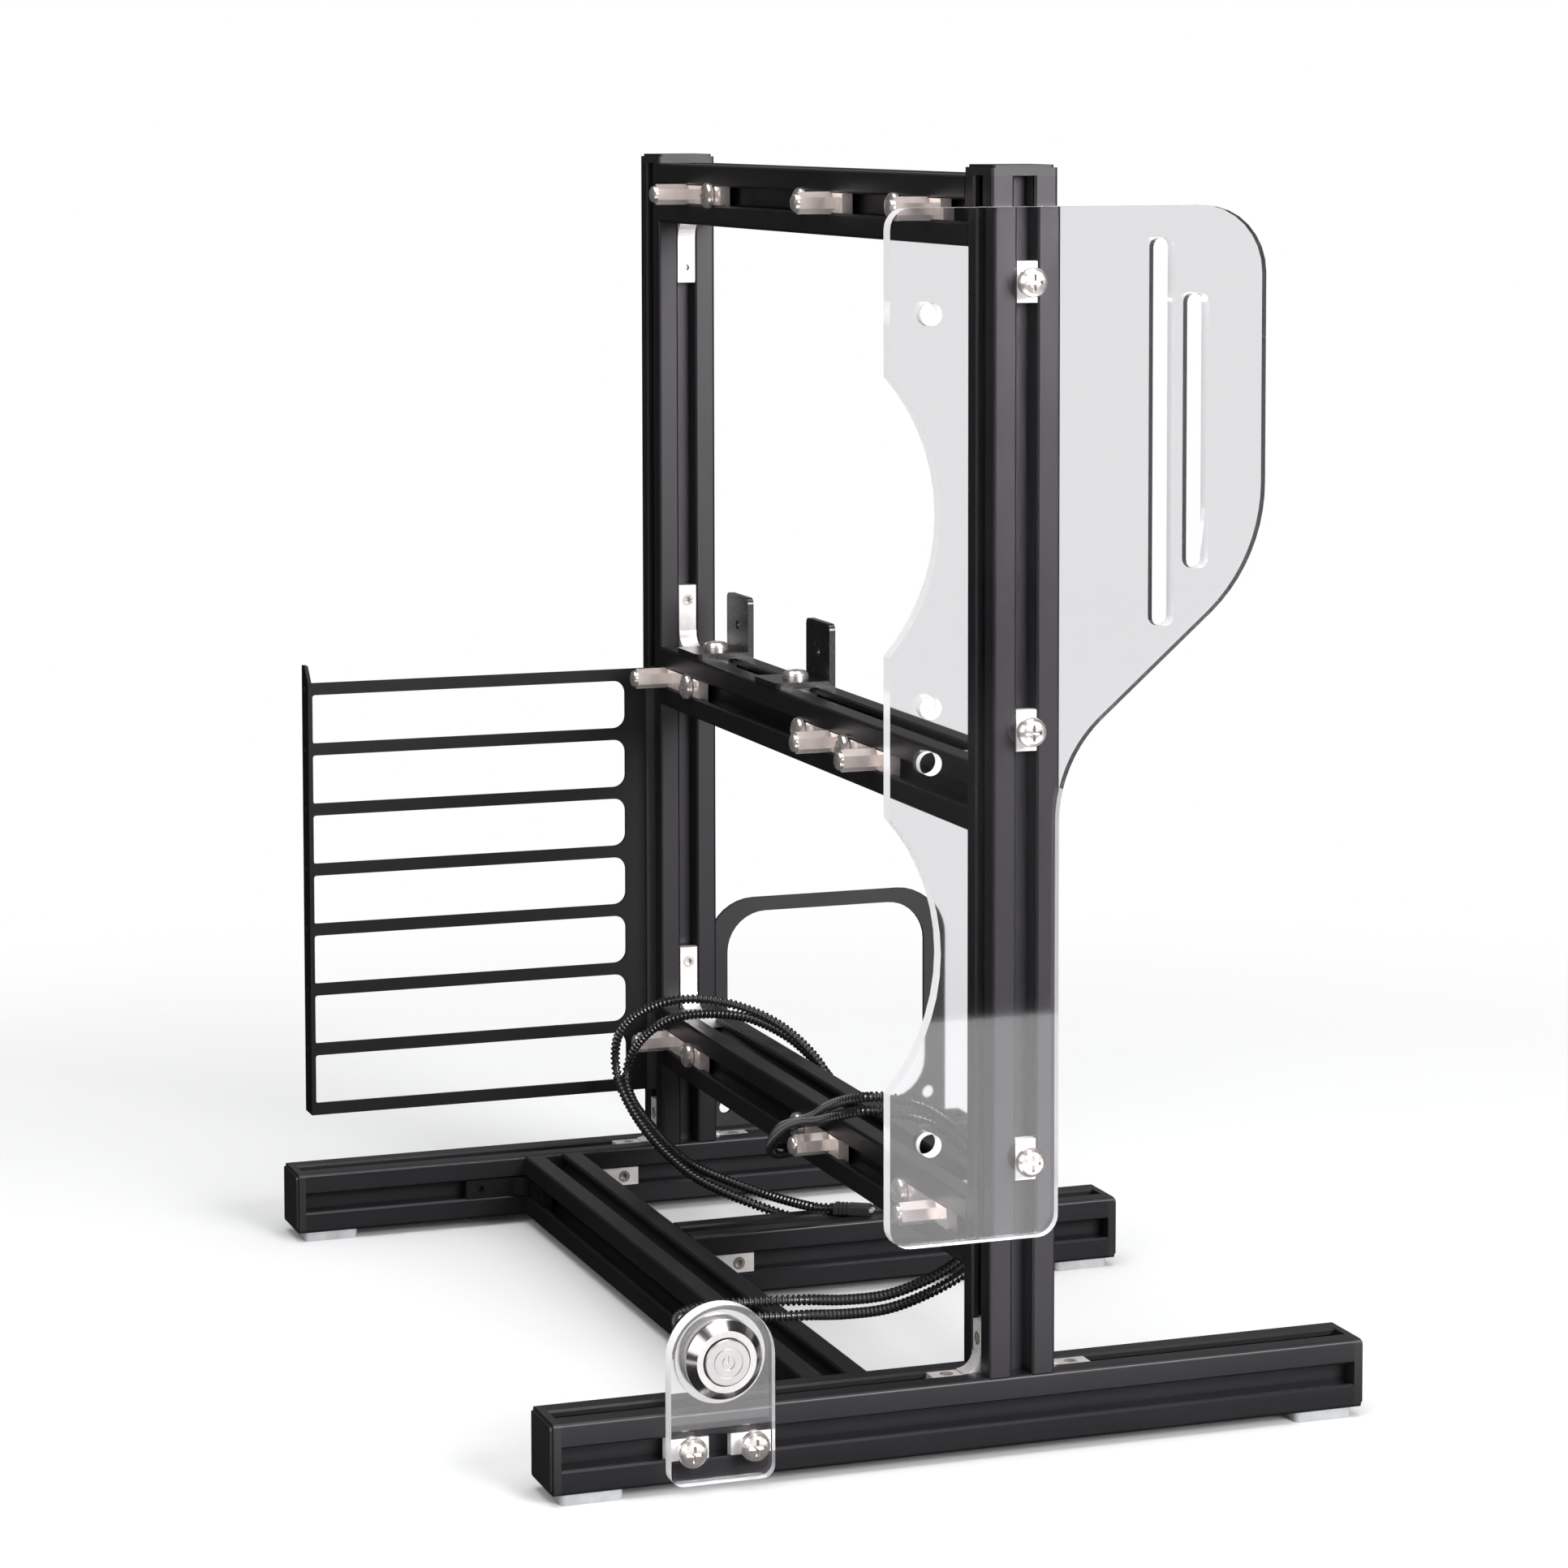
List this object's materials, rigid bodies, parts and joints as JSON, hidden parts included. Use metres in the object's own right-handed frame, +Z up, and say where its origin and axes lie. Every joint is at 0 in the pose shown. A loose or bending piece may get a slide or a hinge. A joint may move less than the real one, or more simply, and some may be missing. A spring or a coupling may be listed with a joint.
{
  "type": "open air test bench",
  "caption": "Upright open bench of black slotted profile that holds a main board on edge, with an expansion card panel, clear side plate and power button.",
  "frame": {"origin": "middle of the footprint at the ground, measured without the leads", "axes": "+Z up; -Y is the front with the clear side plate and the button; +X is to the right seen from the front, so that the main board's side faces -X"},
  "size_m": [0.245, 0.3335, 0.363],
  "materials": {
    "profile": "satin black anodised",
    "cap": "moulded, slight sheen",
    "pad": "milky, slightly translucent",
    "clear_sheet": "clear acrylic sheet with polished edges",
    "coated_steel": "fine matt black powder coat",
    "rubber_strip": "matt",
    "connector": "bright nickel plate",
    "hardware": "bright nickel plate",
    "button_metal": "polished stainless",
    "button_plastic": "moulded",
    "lead_sleeve": "ribbed sleeve",
    "plug_plastic": "moulded"
  },
  "bodies": {
    "bench": {"foot_front": "profile", "foot_back": "profile", "foot_mid": "profile", "floor_beam": "profile", "post_front": "profile", "post_back": "profile", "crossbar_top": "profile", "crossbar_mid": "profile", "crossbar_low": "profile", "cap_front_left": "cap", "cap_front_right": "cap", "cap_back_left": "cap", "cap_back_right": "cap", "cap_mid_right": "cap", "cap_post_front": "cap", "cap_post_back": "cap", "pad_front_left": "pad", "pad_front_right": "pad", "pad_back_left": "pad", "pad_back_right": "pad", "pad_mid": "pad", "connectors_top": "connector", "connectors_mid": "connector", "connectors_low": "connector", "connectors_post_front": "connector", "connectors_post_back": "connector", "connectors_floor": "connector", "grub_screws": "hardware", "side_plate": "clear_sheet", "plate_screws": "hardware", "plate_nuts": "hardware", "expansion_panel": "coated_steel", "panel_gasket": "rubber_strip", "rear_frame": "coated_steel", "rear_frame_screws": "hardware", "rear_frame_nuts": "hardware", "angle_rear": "coated_steel", "angle_front": "coated_steel", "angle_screws": "hardware", "angle_nuts": "hardware", "sliders_top": "hardware", "sliders_mid": "hardware", "sliders_low": "hardware", "slider_screws": "hardware", "standoffs_top": "hardware", "standoffs_mid": "hardware", "standoffs_low": "hardware", "board_screws": "hardware", "button_tab": "clear_sheet", "tab_screws": "hardware", "tab_nuts": "hardware", "button_body": "button_metal", "button_nut": "button_metal", "button_terminal": "button_plastic", "lead_relief": "button_plastic", "switch_lead": "lead_sleeve", "light_lead": "lead_sleeve", "lead_plugs": "plug_plastic"},
    "button": {"button_cap": "button_metal"}
  },
  "joints": [
    {"name": "button_press", "type": "slide", "parent": "bench", "child": "button", "axis": [0, 1, 0], "range_m": [0, 0.0015], "stiffness_N_per_m": 1500, "springref_m": -0.001}
  ]
}
